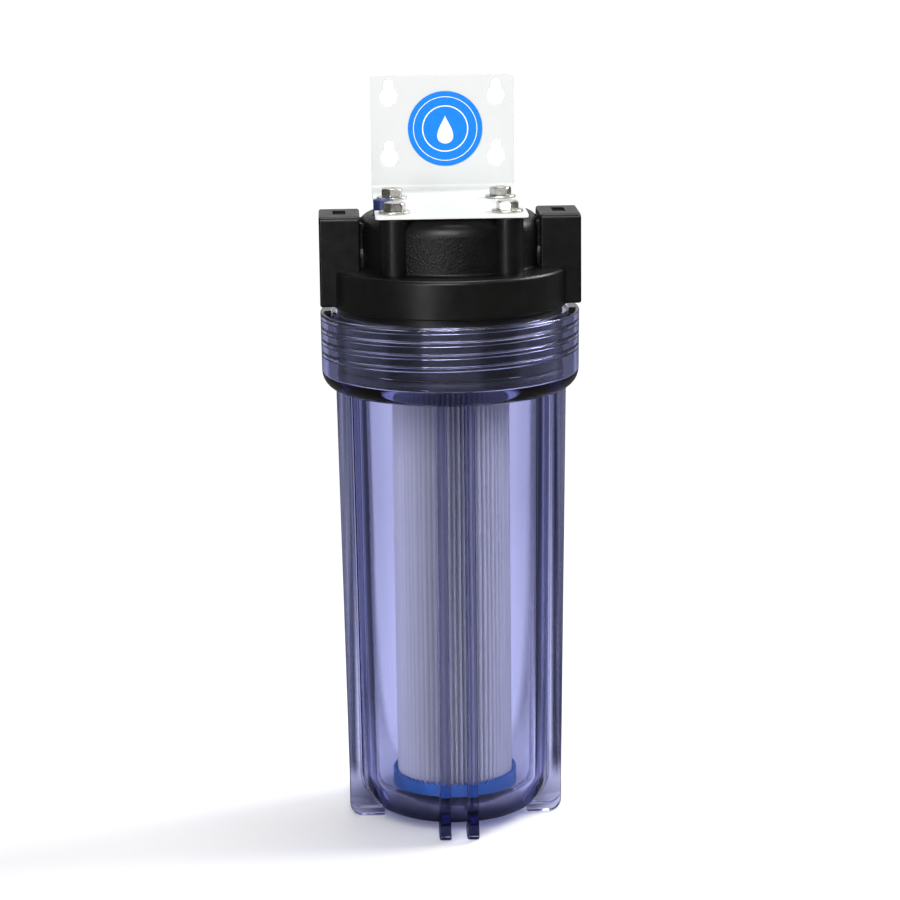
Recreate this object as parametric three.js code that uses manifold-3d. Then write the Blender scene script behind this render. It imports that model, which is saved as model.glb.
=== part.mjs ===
// Inline water filter: a clear ribbed sump screwed up into a black cap, with a pleated cartridge
// inside, a pressure-relief button on the cap and a white wall bracket bolted on top.
// Millimetres, +Z up. The origin is on the floor under the middle of the whole object, -Y is the
// front, and the two pipe ports open along -X (inlet) and +X (outlet).

import * as THREE from "three";
import { mergeVertices } from "three/addons/utils/BufferGeometryUtils.js";
import Module from "manifold-3d";

const wasm = await Module();
wasm.setup();

// ---------------------------------------------------------------- driving dimensions
const ROUND = 40; // facets round every large circle
const SMALL_ROUND = 16; // facets round fasteners and small bores
const GAP = 0.3; // clearance left between pieces that touch

// sump: collar at the top, tapering body, four pairs of ribs that end as feet
const COLLAR_TOP = 272.7;
const COLLAR_TOP_R = 67.1;
const COLLAR_LOW_R = 66.7;
const COLLAR_CORNER = 9.8; // rounding under the collar
const COLLAR_BOTTOM = 231.8;
const COLLAR_CHAMFER = 1;
const LEDGE_CHAMFER = 2;
const BODY_TOP_R = 52;
const BODY_LOW_R = 50;
const BASE_Z = 4.7; // the base hangs this far above the floor, on the feet
const BASE_CORNER = 16;
const CAVITY_TOP_R = 44.4;
const CAVITY_LOW_R = 42.3;
const CAVITY_FLOOR = 10;
const CAVITY_CORNER = 14;
const LEDGE_Z = 239.7; // the O-ring lies on this ledge inside the collar
const FIN_WIDTH = 6.4;
const FIN_OFFSET = 7.24; // each rib's middle, either side of the axis plane
const FIN_TOP_R = 59.6;
const FIN_LOW_R = 56.5;
const FIN_LOW_Z = 20;
const FOOT_R = 49.2; // the feet are flat on the floor out to here
const FOOT_CORNER = 7;
const FIN_INNER_R = 38; // the ribs run in under the base to here
const FIN_INNER_TOP = 6.5;
const FIN_ROOT = [46, 14]; // a corner of the rib inside the base's rounding
const SEAT_PLUG_H = 11; // plug in the middle of the floor that centres the cartridge
const SEAT_PLUG_TAPER = 3;

// screw thread between cap and sump
const PITCH = 6.35;
const NECK_R = 58.4;
const CREST_R = 60.8;
const BORE_R = 59.2;
const GROOVE_R = 61.6;
const THREAD_ROOT = 0.6; // the ridge and the groove start this far inside their wall
const RIDGE_ROOT_WIDTH = 3.6;
const RIDGE_CREST_WIDTH = 1.8;
const GROOVE_ROOT_WIDTH = 4.6;
const GROOVE_CREST_WIDTH = 2.4;
const THREAD_LOW = 253.2; // middle of the male ridge where it starts
const THREAD_TURNS = 2.1;
const GROOVE_TURNS = 4; // the groove runs on up and out of the collar

// cap
const NECK_BOTTOM = 245.3;
const NECK_INNER_R = 54;
const SKIRT_R = 61.3;
const SKIRT_BOTTOM = 276;
const SKIRT_CHAMFER = 0.5;
const SHELF_Z = 295.8;
const CHAMBER_TOP = 290.5; // ceiling over the threaded neck
const DRUM_R = 47;
const DRUM_INNER_R = 41;
const DRUM_TOP = 323.2;
const CEILING_Z = 318.2;
const EDGE = 2; // rounding of the cap's other edges
const BOSS_INNER_X = 46;
const BOSS_OUTER_X = 67;
const BOSS_HALF_Y = 18;
const BOSS_BOTTOM = 276.8;
const BOSS_TOP = 323.1;
const RECESS_X = 6.6; // square recess in the top of each boss
const RECESS_Y = 16;
const RECESS_DEPTH = 1.2;
const PORT_Z = 300;
const PORT_R = 12.2; // wall of the 3/4 inch pipe thread
const PORT_DEPTH = 27;
const PORT_COLLAR_R = 15.5; // closes the bore between the boss and the drum
const CHANNEL_R = 9; // clean water channel to the outlet
const CHANNEL_WALL_R = 14.5;
const SPIGOT_R = 12.7;
const SPIGOT_BOTTOM = 260;
const ELBOW_BACK = 10.5; // the channel's elbow reaches this far past the axis
const PRESS_RING_R = 19.5; // ring on the spigot that presses on the top gasket

// bolts and bracket
const BOLT_X = 28.5;
const BOLT_Y = 29.4;
const COLUMN_R = 7.8;
const COLUMN_REACH = 5.6; // the columns run this far past the bolts, away from the axis
const COLUMN_TOP = 324.5;
const BOLT_R = 3;
const BOLT_TIP = 306;
const HEAD_AF = 10;
const HEAD_H = 4.2;
const WASHER_R = 8;
const WASHER_T = 1.2;
const SHEET = 1.5;
const FLANGE_BOTTOM = 324.7;
const FLANGE_FRONT = -43.5;
const BRACKET_HALF_X = 38.5;
const PLATE_BACK = 70;
const PLATE_TOP = 387.7;
const PLATE_CORNER = 3;
const BEND_R = 3; // inside radius of the bend
const KEYHOLE_X = 28.7;
const KEYHOLE_Z = [343.5, 376];
const KEYHOLE_R = 5;
const KEYHOLE_NECK_R = 2.95;
const KEYHOLE_NECK_RISE = 6.45; // from the big circle's middle to the small one's
const LABEL_R = 20;
const LABEL_T = 0.4;
const LABEL_X = 1.4;
const LABEL_Z = 358.7;

// pressure-relief button
const BUTTON_X = -33.8;
const BUTTON_Y = -10.7;
const BUTTON_R = 5.15;
const BUTTON_GAP = 0.45; // clearance round the button in its counterbore
const BUTTON_TOP = 331.1;
const BUTTON_BOTTOM = 322.5;
const STEM_R = 2.2;
const STEM_BOTTOM = 307.4;
const GUIDE_R = 8; // boss inside the ceiling that guides the stem
const GUIDE_BOTTOM = 313;
const SPRING_SEAT = 316.5;
const NOTCH_R = 6.6; // the flange is notched round the button

// cartridge
const CARTRIDGE_BOTTOM = 16.8;
const CARTRIDGE_TOP = 264.8;
const END_CAP_R = 33;
const END_CAP_H = 6;
const END_CAP_FLOOR = 2;
const END_CAP_RIM = 1.2;
const CORE_HOLE_R = 14.2;
const CORE_R = 17.4;
const PLEATS = 60;
const PLEAT_OUTER_R = 31.3;
const PLEAT_INNER_R = 24.5;
const GASKET_T = 1.6;
const GASKET_R = 22;
const SEAT_HEIGHT = GASKET_T + 2 * GAP; // from an end of the cartridge to the seat behind its gasket

// the sump's axis stands this far from the origin, which is under the middle of the object
const AXIS_Y = (COLLAR_TOP_R - PLATE_BACK) / 2;

// ---------------------------------------------------------------- shape helpers
function solid(geometry) {
  const bare = geometry.index ? geometry.toNonIndexed() : geometry;
  bare.deleteAttribute("normal");
  bare.deleteAttribute("uv");
  const merged = mergeVertices(bare, 1e-3);
  const mesh = new wasm.Mesh({
    numProp: 3,
    vertProperties: merged.attributes.position.array,
    triVerts: new Uint32Array(merged.index.array),
  });
  return new wasm.Manifold(mesh);
}

function geometryOf(made) {
  const mesh = made.getMesh();
  const geometry = new THREE.BufferGeometry();
  geometry.setAttribute("position", new THREE.BufferAttribute(mesh.vertProperties, 3));
  geometry.setIndex(new THREE.BufferAttribute(mesh.triVerts, 1));
  geometry.computeVertexNormals();
  return geometry;
}

function join(first, ...others) {
  return others.reduce((sum, next) => sum.add(next), first);
}

function cut(first, ...others) {
  return others.reduce((rest, next) => rest.subtract(next), first);
}

// A [radius, height] outline turned about +Z. It runs anticlockwise seen with +r to the right.
function turned(outline, facets = ROUND) {
  const points = outline.map(([r, z]) => new THREE.Vector2(r, z));
  if (outline[0][0] > 0) points.push(points[0].clone());
  return new THREE.LatheGeometry(points, facets).rotateX(Math.PI / 2);
}

// Points of an arc about (cr, cz), from one angle to another in degrees.
function arc(cr, cz, radius, from, to, steps) {
  return Array.from({ length: steps + 1 }, (_, i) => {
    const angle = THREE.MathUtils.degToRad(from + ((to - from) * i) / steps);
    return [cr + radius * Math.cos(angle), cz + radius * Math.sin(angle)];
  });
}

// A flat outline in XY raised from z to z + height.
function raised(shape, z, height, curveSegments = 6) {
  const options = { depth: height, bevelEnabled: false, curveSegments };
  return new THREE.ExtrudeGeometry(shape, options).translate(0, 0, z);
}

// A rod along +Z between two heights.
function rod(radius, low, high, x = 0, y = 0, facets = SMALL_ROUND) {
  const outline = [[0, low], [radius, low], [radius, high], [0, high]];
  return turned(outline, facets).translate(x, y, 0);
}

// A ring about +Z.
function ring(inner, outer, low, high, facets = ROUND) {
  return turned([[inner, low], [outer, low], [outer, high], [inner, high]], facets);
}

// A rod along X between two places, at the ports' height.
function portRod(radius, from, to) {
  return rod(radius, from, to, 0, 0, 24).rotateY(Math.PI / 2).translate(0, 0, PORT_Z);
}

function roundedRectangle(x0, y0, x1, y1, radius) {
  const shape = new THREE.Shape();
  shape.moveTo(x0 + radius, y0);
  shape.lineTo(x1 - radius, y0);
  shape.absarc(x1 - radius, y0 + radius, radius, -Math.PI / 2, 0);
  shape.lineTo(x1, y1 - radius);
  shape.absarc(x1 - radius, y1 - radius, radius, 0, Math.PI / 2);
  shape.lineTo(x0 + radius, y1);
  shape.absarc(x0 + radius, y1 - radius, radius, Math.PI / 2, Math.PI);
  shape.lineTo(x0, y0 + radius);
  shape.absarc(x0 + radius, y0 + radius, radius, Math.PI, Math.PI * 1.5);
  return shape;
}

// A right-handed screw ridge: a trapezoid, wide at rootR and narrow at crestR, swept up a helix.
function screwRidge(rootR, rootWidth, crestR, crestWidth, low, turns) {
  const steps = Math.round(turns * ROUND);
  const section = [
    [rootR, -rootWidth / 2],
    [crestR, -crestWidth / 2],
    [crestR, crestWidth / 2],
    [rootR, rootWidth / 2],
  ];
  const positions = [];
  for (let i = 0; i <= steps; i++) {
    const angle = (2 * Math.PI * i) / ROUND;
    for (const [r, dz] of section) {
      positions.push(r * Math.cos(angle), r * Math.sin(angle), low + dz + (PITCH * i) / ROUND);
    }
  }
  const faces = [];
  const corners = section.length;
  for (let i = 0; i < steps; i++) {
    for (let j = 0; j < corners; j++) {
      const a = i * corners + j;
      const b = i * corners + ((j + 1) % corners);
      faces.push(a, b + corners, b, a, a + corners, b + corners);
    }
  }
  const last = steps * corners;
  faces.push(0, 1, 2, 0, 2, 3);
  faces.push(last, last + 2, last + 1, last, last + 3, last + 2);
  const geometry = new THREE.BufferGeometry();
  geometry.setAttribute("position", new THREE.Float32BufferAttribute(positions, 3));
  geometry.setIndex(faces);
  return geometry;
}

// ---------------------------------------------------------------- materials and the scene
const MATERIALS = {
  clear: { color: 0x8c8cc3, roughness: 0.08, metalness: 0, transparent: true, opacity: 0.35 },
  black: { color: 0x141414, roughness: 0.45, metalness: 0 },
  white: { color: 0xf2f4f2, roughness: 0.35, metalness: 0 },
  steel: { color: 0xb9b7ac, roughness: 0.3, metalness: 1 },
  label: { color: 0x2494ff, roughness: 0.4, metalness: 0 },
  button: { color: 0x1d2a5c, roughness: 0.4, metalness: 0 },
  media: { color: 0xf1f1f6, roughness: 0.9, metalness: 0 },
  core: { color: 0xe4e6ea, roughness: 0.5, metalness: 0 },
  end_cap: { color: 0x2f67b5, roughness: 0.5, metalness: 0 },
  rubber: { color: 0x0c0c0e, roughness: 0.7, metalness: 0 },
};

const filter = new THREE.Group();
filter.position.y = AXIS_Y;

function addPiece(name, geometry, material) {
  const mesh = new THREE.Mesh(geometry, new THREE.MeshStandardMaterial(MATERIALS[material]));
  mesh.name = name;
  filter.add(mesh);
}

// ---------------------------------------------------------------- sump
function sumpShell() {
  const cornerR = COLLAR_LOW_R - COLLAR_CORNER;
  const cornerZ = COLLAR_BOTTOM + COLLAR_CORNER;
  return solid(turned([
    [0, BASE_Z],
    ...arc(BODY_LOW_R - BASE_CORNER, BASE_Z + BASE_CORNER, BASE_CORNER, -90, 0, 5),
    [BODY_TOP_R, COLLAR_BOTTOM],
    ...arc(cornerR, cornerZ, COLLAR_CORNER, -90, 0, 5),
    [COLLAR_TOP_R, COLLAR_TOP - COLLAR_CHAMFER],
    [COLLAR_TOP_R - COLLAR_CHAMFER, COLLAR_TOP],
    [BORE_R + COLLAR_CHAMFER, COLLAR_TOP],
    [BORE_R, COLLAR_TOP - COLLAR_CHAMFER],
    [BORE_R, LEDGE_Z],
    [CAVITY_TOP_R + LEDGE_CHAMFER, LEDGE_Z],
    [CAVITY_TOP_R, LEDGE_Z - LEDGE_CHAMFER],
    ...arc(CAVITY_LOW_R - CAVITY_CORNER, CAVITY_FLOOR + CAVITY_CORNER, CAVITY_CORNER, 0, -90, 5),
    [0, CAVITY_FLOOR],
  ]));
}

// A rib that ends below the base as a foot, standing along +X.
function fin() {
  const side = new THREE.Shape();
  side.moveTo(FIN_INNER_R, 0);
  side.lineTo(FOOT_R, 0);
  side.absarc(FOOT_R, FOOT_CORNER, FOOT_CORNER, -Math.PI / 2, 0);
  side.lineTo(FIN_LOW_R, FIN_LOW_Z);
  side.lineTo(FIN_TOP_R, COLLAR_BOTTOM + 1);
  side.lineTo(BODY_LOW_R - 1, COLLAR_BOTTOM + 1);
  side.lineTo(BODY_LOW_R - 2, BASE_Z + BASE_CORNER);
  side.lineTo(...FIN_ROOT);
  side.lineTo(FIN_INNER_R, FIN_INNER_TOP);
  const flat = raised(side, -FIN_WIDTH / 2, FIN_WIDTH, 5);
  return flat.rotateX(Math.PI / 2);
}

// The raised seat in the middle of the floor: a ring under the cartridge and a plug in its core.
function cartridgeSeat() {
  const ringTop = CARTRIDGE_BOTTOM - SEAT_HEIGHT;
  return solid(turned([
    [0, CAVITY_FLOOR - 1],
    [PRESS_RING_R, CAVITY_FLOOR - 1],
    [PRESS_RING_R, ringTop],
    [SPIGOT_R, ringTop],
    [SPIGOT_R, ringTop + SEAT_PLUG_H - SEAT_PLUG_TAPER],
    [SPIGOT_R - SEAT_PLUG_TAPER, ringTop + SEAT_PLUG_H],
    [0, ringTop + SEAT_PLUG_H],
  ], 24));
}

const fins = [0, 90, 180, 270].flatMap((degrees) =>
  [-FIN_OFFSET, FIN_OFFSET].map((offset) =>
    solid(fin().translate(0, offset, 0).rotateZ(THREE.MathUtils.degToRad(degrees))),
  ),
);
const groove = screwRidge(
  BORE_R - THREAD_ROOT, GROOVE_ROOT_WIDTH, GROOVE_R, GROOVE_CREST_WIDTH, THREAD_LOW, GROOVE_TURNS);
const sump = cut(
  join(sumpShell(), cartridgeSeat(), ...fins),
  solid(groove),
);
addPiece("sump", geometryOf(sump), "clear");

const O_RING_SECTION = 2.4;
const oRing = turned(
  arc(BORE_R - O_RING_SECTION - GAP, LEDGE_Z + O_RING_SECTION + GAP, O_RING_SECTION, 0, 300, 5),
);
addPiece("sump_o_ring", oRing, "rubber");

// ---------------------------------------------------------------- cap
// The cap is one moulding, set out as simple pieces: top, drum wall, skirt, threaded neck, two port
// bosses, four columns under the bracket and the clean water channel.
function capTop() {
  const edge = DRUM_TOP - CEILING_Z;
  const disc = turned([
    [0, CEILING_Z],
    ...arc(DRUM_R - edge, CEILING_Z, edge, 0, 90, 3),
    [0, DRUM_TOP],
  ]);
  const guide = cut(
    solid(rod(GUIDE_R, GUIDE_BOTTOM, CEILING_Z + 1, BUTTON_X, BUTTON_Y)),
    solid(ring(DRUM_INNER_R - GAP, DRUM_R, GUIDE_BOTTOM - 1, CEILING_Z)),
  );
  const pads = BOLTS.map(([, x, y]) => column(x, y, CEILING_Z, COLUMN_TOP));
  return cut(join(solid(disc), ...pads, guide), ...boltHoles(), ...buttonBores());
}

// The drum's wall, thickened inside round each bolt.
function drumWall() {
  const top = CEILING_Z - GAP;
  const inside = solid(rod(DRUM_R - 1, SHELF_Z, top, 0, 0, ROUND));
  const bosses = BOLTS.map(([, x, y]) => column(x, y, SHELF_Z, top).intersect(inside));
  const wall = solid(ring(DRUM_INNER_R, DRUM_R, SHELF_Z, top));
  return cut(join(wall, ...bosses), ...boltHoles(), ...buttonBores(), ...portBores());
}

function skirt() {
  const top = SHELF_Z - GAP;
  const outline = [
    [NECK_INNER_R, SKIRT_BOTTOM],
    [SKIRT_R - SKIRT_CHAMFER, SKIRT_BOTTOM],
    [SKIRT_R, SKIRT_BOTTOM + SKIRT_CHAMFER],
    ...arc(SKIRT_R - EDGE, top - EDGE, EDGE, 0, 90, 2),
    [DRUM_INNER_R, top],
    [DRUM_INNER_R, CHAMBER_TOP],
    [NECK_INNER_R, CHAMBER_TOP],
  ];
  return cut(solid(turned(outline)), ...portBores());
}

// The space of the drum and the skirt, with clearance, which the other pieces stay out of.
function shellClearance() {
  return solid(turned([
    [0, SKIRT_BOTTOM - 1],
    [SKIRT_R + GAP, SKIRT_BOTTOM - 1],
    [SKIRT_R + GAP, SHELF_Z + GAP],
    [DRUM_R + GAP, SHELF_Z + GAP],
    [DRUM_R + GAP, DRUM_TOP + 1],
    [0, DRUM_TOP + 1],
  ]));
}

// One port boss: a block with rounded long edges and a bore, along X on the side given by its
// sign, with a shallow square recess in its top.
function portBoss(side) {
  const outline = roundedRectangle(-BOSS_HALF_Y, BOSS_BOTTOM, BOSS_HALF_Y, BOSS_TOP, EDGE);
  const block = raised(outline, BOSS_INNER_X, BOSS_OUTER_X - BOSS_INNER_X, 3);
  // the outline's x and y become the row's Y and Z, and its thickness runs along X
  block.applyMatrix4(new THREE.Matrix4().set(0, 0, 1, 0, 1, 0, 0, 0, 0, 1, 0, 0, 0, 0, 0, 1));
  const recess = new THREE.BoxGeometry(RECESS_X, RECESS_Y, 2 * RECESS_DEPTH);
  recess.translate((BOSS_INNER_X + BOSS_OUTER_X) / 2, 0, BOSS_TOP);
  const collar = solid(portRod(PORT_COLLAR_R, DRUM_INNER_R, BOSS_INNER_X + 1));
  const boss = cut(join(solid(block), collar), shellClearance(), solid(recess), ...portBores());
  return geometryOf(boss).rotateZ(side > 0 ? 0 : Math.PI);
}

// The ports' bores, through the bosses and the drum's wall.
function portBores() {
  const bore = () => portRod(PORT_R, BOSS_OUTER_X - PORT_DEPTH, BOSS_OUTER_X + 1);
  return [solid(bore()), solid(bore().rotateZ(Math.PI))];
}

function boltHoles() {
  return BOLTS.map(([, x, y]) => solid(rod(BOLT_R + GAP, BOLT_TIP - 2, COLUMN_TOP + 1, x, y)));
}

// The button's counterbore and its stem's hole.
function buttonBores() {
  return [
    solid(rod(BUTTON_R + BUTTON_GAP, SPRING_SEAT, DRUM_TOP + 1, BUTTON_X, BUTTON_Y)),
    solid(rod(STEM_R + GAP, GUIDE_BOTTOM - 1, SPRING_SEAT + 1, BUTTON_X, BUTTON_Y)),
  ];
}

const BOLTS = [
  ["front_left", -BOLT_X, -BOLT_Y],
  ["front_right", BOLT_X, -BOLT_Y],
  ["rear_left", -BOLT_X, BOLT_Y],
  ["rear_right", BOLT_X, BOLT_Y],
];

// A length of a column under the bracket, seen from above as a slot with round ends.
function column(x, y, low, high) {
  const far = Math.abs(y) + COLUMN_REACH;
  const near = Math.abs(y);
  const shape = new THREE.Shape();
  shape.moveTo(COLUMN_R, near);
  shape.lineTo(COLUMN_R, far);
  shape.absarc(0, far, COLUMN_R, 0, Math.PI);
  shape.lineTo(-COLUMN_R, near);
  shape.absarc(0, near, COLUMN_R, Math.PI, Math.PI * 2);
  const post = raised(shape, low, high - low, 8);
  if (y < 0) post.rotateZ(Math.PI);
  return solid(post.translate(x, 0, 0));
}

addPiece("cap", geometryOf(capTop()), "black");
addPiece("cap_drum", geometryOf(drumWall()), "black");
addPiece("cap_skirt", geometryOf(skirt()), "black");
for (const [place, x, y] of BOLTS) {
  const outside = cut(column(x, y, SHELF_Z + GAP, CEILING_Z - GAP), shellClearance());
  addPiece("column_" + place, geometryOf(outside), "black");
}
addPiece("inlet_boss", portBoss(-1), "black");
addPiece("outlet_boss", portBoss(1), "black");

function threadedNeck() {
  const tube = ring(NECK_INNER_R, NECK_R, NECK_BOTTOM, SKIRT_BOTTOM - GAP);
  const ridge = screwRidge(
    NECK_R - THREAD_ROOT, RIDGE_ROOT_WIDTH, CREST_R, RIDGE_CREST_WIDTH, THREAD_LOW, THREAD_TURNS);
  return join(solid(tube), solid(ridge));
}
addPiece("cap_neck", geometryOf(threadedNeck()), "black");

// An elbow from the spigot in the cartridge's core to the outlet port, with a ring on the spigot
// that presses on the top gasket.
function outletChannel() {
  const elbow = [
    solid(portRod(CHANNEL_WALL_R, -ELBOW_BACK, DRUM_INNER_R + 1)),
    solid(rod(CHANNEL_WALL_R, SPIGOT_BOTTOM + 11, PORT_Z, 0, 0, 24)),
    solid(rod(SPIGOT_R, SPIGOT_BOTTOM, PORT_Z, 0, 0, 24)),
    solid(rod(PRESS_RING_R, CARTRIDGE_TOP + SEAT_HEIGHT, SPIGOT_BOTTOM + 12, 0, 0, 24)),
  ];
  const inside = solid(rod(DRUM_INNER_R - GAP, SPIGOT_BOTTOM - 1, DRUM_TOP, 0, 0, ROUND));
  const water = [
    solid(portRod(CHANNEL_R, CHANNEL_WALL_R - ELBOW_BACK - CHANNEL_R, DRUM_INNER_R + 2)),
    solid(rod(CHANNEL_R, SPIGOT_BOTTOM - 1, PORT_Z, 0, 0, 24)),
  ];
  return cut(join(...elbow).intersect(inside), ...water);
}
addPiece("outlet_channel", geometryOf(outletChannel()), "black");

// ---------------------------------------------------------------- pressure-relief valve
const button = join(
  solid(turned([
    [0, BUTTON_BOTTOM],
    [BUTTON_R, BUTTON_BOTTOM],
    [BUTTON_R, BUTTON_TOP - 0.6],
    [BUTTON_R - 0.6, BUTTON_TOP],
    [0, BUTTON_TOP],
  ], 24)),
  solid(rod(STEM_R, STEM_BOTTOM, BUTTON_BOTTOM + 1)),
);
addPiece("relief_button", geometryOf(button).translate(BUTTON_X, BUTTON_Y, 0), "button");

// A coil spring with flat ends, drawn as one swept wire.
class SpringPath extends THREE.Curve {
  constructor(radius, low, high, turns) {
    super();
    Object.assign(this, { radius, low, high, turns });
  }

  getPoint(t, target = new THREE.Vector3()) {
    const angle = 2 * Math.PI * this.turns * t;
    const height = this.low + (this.high - this.low) * t;
    return target.set(this.radius * Math.cos(angle), this.radius * Math.sin(angle), height);
  }
}

const WIRE_R = 0.35;
const SPRING_R = 3.7;
const SPRING_TURNS = 3;
const springPath = new SpringPath(
  SPRING_R,
  SPRING_SEAT + WIRE_R + GAP,
  BUTTON_BOTTOM - WIRE_R - GAP,
  SPRING_TURNS,
);
const wire = new THREE.Shape().absarc(0, 0, WIRE_R, 0, Math.PI * 2);
const springOptions = { extrudePath: springPath, steps: SPRING_TURNS * 12, curveSegments: 3 };
const spring = new THREE.ExtrudeGeometry(wire, { ...springOptions, bevelEnabled: false });
addPiece("relief_spring", spring.translate(BUTTON_X, BUTTON_Y, 0), "steel");

function stemRing(outer, low, high) {
  return ring(STEM_R + GAP, outer, low, high, SMALL_ROUND).translate(BUTTON_X, BUTTON_Y, 0);
}
addPiece("relief_seal", stemRing(4.6, GUIDE_BOTTOM - 2, GUIDE_BOTTOM - 0.2), "rubber");
addPiece("relief_retainer", stemRing(4.3, GUIDE_BOTTOM - 4.6, GUIDE_BOTTOM - 2.2), "core");

// ---------------------------------------------------------------- bracket and its fasteners
function keyhole(x, z) {
  const path = new THREE.Path();
  const meeting = Math.asin(KEYHOLE_NECK_R / KEYHOLE_R); // where the neck meets the big circle
  path.absarc(x, z, KEYHOLE_R, Math.PI / 2 + meeting, Math.PI * 2.5 - meeting);
  path.absarc(x, z + KEYHOLE_NECK_RISE, KEYHOLE_NECK_R, 0, Math.PI);
  path.closePath();
  return path;
}

function bracket() {
  const flangeTop = FLANGE_BOTTOM + SHEET;
  const plateFront = PLATE_BACK - SHEET;
  const bendY = plateFront - BEND_R;
  const bendZ = flangeTop + BEND_R;
  // side view of the bent sheet, with y to the right and z up
  const side = new THREE.Shape();
  side.moveTo(FLANGE_FRONT, FLANGE_BOTTOM);
  side.lineTo(bendY, FLANGE_BOTTOM);
  side.absarc(bendY, bendZ, BEND_R + SHEET, -Math.PI / 2, 0);
  side.lineTo(PLATE_BACK, PLATE_TOP);
  side.lineTo(plateFront, PLATE_TOP);
  side.lineTo(plateFront, bendZ);
  side.absarc(bendY, bendZ, BEND_R, 0, -Math.PI / 2, true);
  side.lineTo(FLANGE_FRONT, flangeTop);
  const sheet = raised(side, -BRACKET_HALF_X, 2 * BRACKET_HALF_X, 5);
  sheet.applyMatrix4(new THREE.Matrix4().set(0, 0, 1, 0, 1, 0, 0, 0, 0, 1, 0, 0, 0, 0, 0, 1));

  // outlines that round the sheet's corners and pierce it
  const low = FLANGE_FRONT;
  const plan = roundedRectangle(-BRACKET_HALF_X, low, BRACKET_HALF_X, PLATE_BACK + 20, PLATE_CORNER);
  const front = roundedRectangle(
    -BRACKET_HALF_X, FLANGE_BOTTOM - 20, BRACKET_HALF_X, PLATE_TOP, PLATE_CORNER);
  for (const z of KEYHOLE_Z) {
    front.holes.push(keyhole(-KEYHOLE_X, z), keyhole(KEYHOLE_X, z));
  }
  const depth = PLATE_BACK - FLANGE_FRONT + 20;
  const frontBlock = raised(front, -PLATE_BACK - 10, depth, 6).rotateX(Math.PI / 2);
  const planBlock = raised(plan, FLANGE_BOTTOM - 10, PLATE_TOP - FLANGE_BOTTOM + 20, 4);
  const holes = BOLTS.map(([, x, y]) =>
    solid(rod(BOLT_R + 0.4, FLANGE_BOTTOM - 1, flangeTop + 1, x, y)),
  );
  const notch = [
    solid(rod(NOTCH_R, FLANGE_BOTTOM - 1, flangeTop + 1, BUTTON_X, BUTTON_Y, 24)),
    solid(new THREE.BoxGeometry(10, 2 * NOTCH_R, 10)
      .translate(BUTTON_X - 5, BUTTON_Y, FLANGE_BOTTOM)),
  ];
  const shaped = solid(sheet).intersect(solid(frontBlock)).intersect(solid(planBlock));
  return cut(shaped, ...holes, ...notch);
}
addPiece("bracket", geometryOf(bracket()), "white");

const labelDisc = turned([[0, 0], [LABEL_R, 0], [LABEL_R, LABEL_T], [0, LABEL_T]])
  .rotateX(Math.PI / 2)
  .translate(LABEL_X, PLATE_BACK - SHEET - 0.1, LABEL_Z);
addPiece("label", labelDisc, "label");

const WASHER_BOTTOM = FLANGE_BOTTOM + SHEET + 0.1;
const HEAD_BOTTOM = WASHER_BOTTOM + WASHER_T + 0.1;

function bolt() {
  const acrossCorners = HEAD_AF / Math.cos(Math.PI / 6);
  const head = turned([
    [0, HEAD_BOTTOM],
    [acrossCorners / 2, HEAD_BOTTOM],
    [acrossCorners / 2, HEAD_BOTTOM + HEAD_H - 0.7],
    [HEAD_AF / 2 - 0.4, HEAD_BOTTOM + HEAD_H],
    [0, HEAD_BOTTOM + HEAD_H],
  ], 6);
  return join(solid(head), solid(rod(BOLT_R, BOLT_TIP, HEAD_BOTTOM + 1)));
}

for (const [place, x, y] of BOLTS) {
  const washer = ring(BOLT_R + GAP, WASHER_R, WASHER_BOTTOM, WASHER_BOTTOM + WASHER_T, 24);
  addPiece("flat_washer_" + place, washer.translate(x, y, 0), "steel");
  addPiece("bolt_" + place, geometryOf(bolt()).translate(x, y, 0), "steel");
}

// ---------------------------------------------------------------- cartridge
// A shallow cup that holds one end of the pleats; facing is 1 at the bottom and -1 at the top.
function endCap(start, facing) {
  const z = (height) => start + facing * height;
  const outline = [
    [CORE_HOLE_R, z(0)],
    [END_CAP_R, z(0)],
    [END_CAP_R, z(END_CAP_H)],
    [END_CAP_R - END_CAP_RIM, z(END_CAP_H)],
    [END_CAP_R - END_CAP_RIM, z(END_CAP_FLOOR)],
    [CORE_HOLE_R, z(END_CAP_FLOOR)],
  ];
  return turned(facing > 0 ? outline : outline.reverse());
}
addPiece("cartridge_bottom_cap", endCap(CARTRIDGE_BOTTOM, 1), "end_cap");
addPiece("cartridge_top_cap", endCap(CARTRIDGE_TOP, -1), "end_cap");

const MEDIA_LOW = CARTRIDGE_BOTTOM + END_CAP_FLOOR + GAP;
const MEDIA_HEIGHT = CARTRIDGE_TOP - END_CAP_FLOOR - GAP - MEDIA_LOW;

function pleatedMedia() {
  const star = new THREE.Shape();
  for (let i = 0; i < 2 * PLEATS; i++) {
    const angle = (Math.PI * i) / PLEATS;
    const radius = i % 2 ? PLEAT_INNER_R : PLEAT_OUTER_R;
    star[i ? "lineTo" : "moveTo"](radius * Math.cos(angle), radius * Math.sin(angle));
  }
  star.holes.push(new THREE.Path().absarc(0, 0, CORE_R + GAP, 0, Math.PI * 2));
  return raised(star, MEDIA_LOW, MEDIA_HEIGHT, 12);
}
addPiece("cartridge_media", pleatedMedia(), "media");

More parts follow.
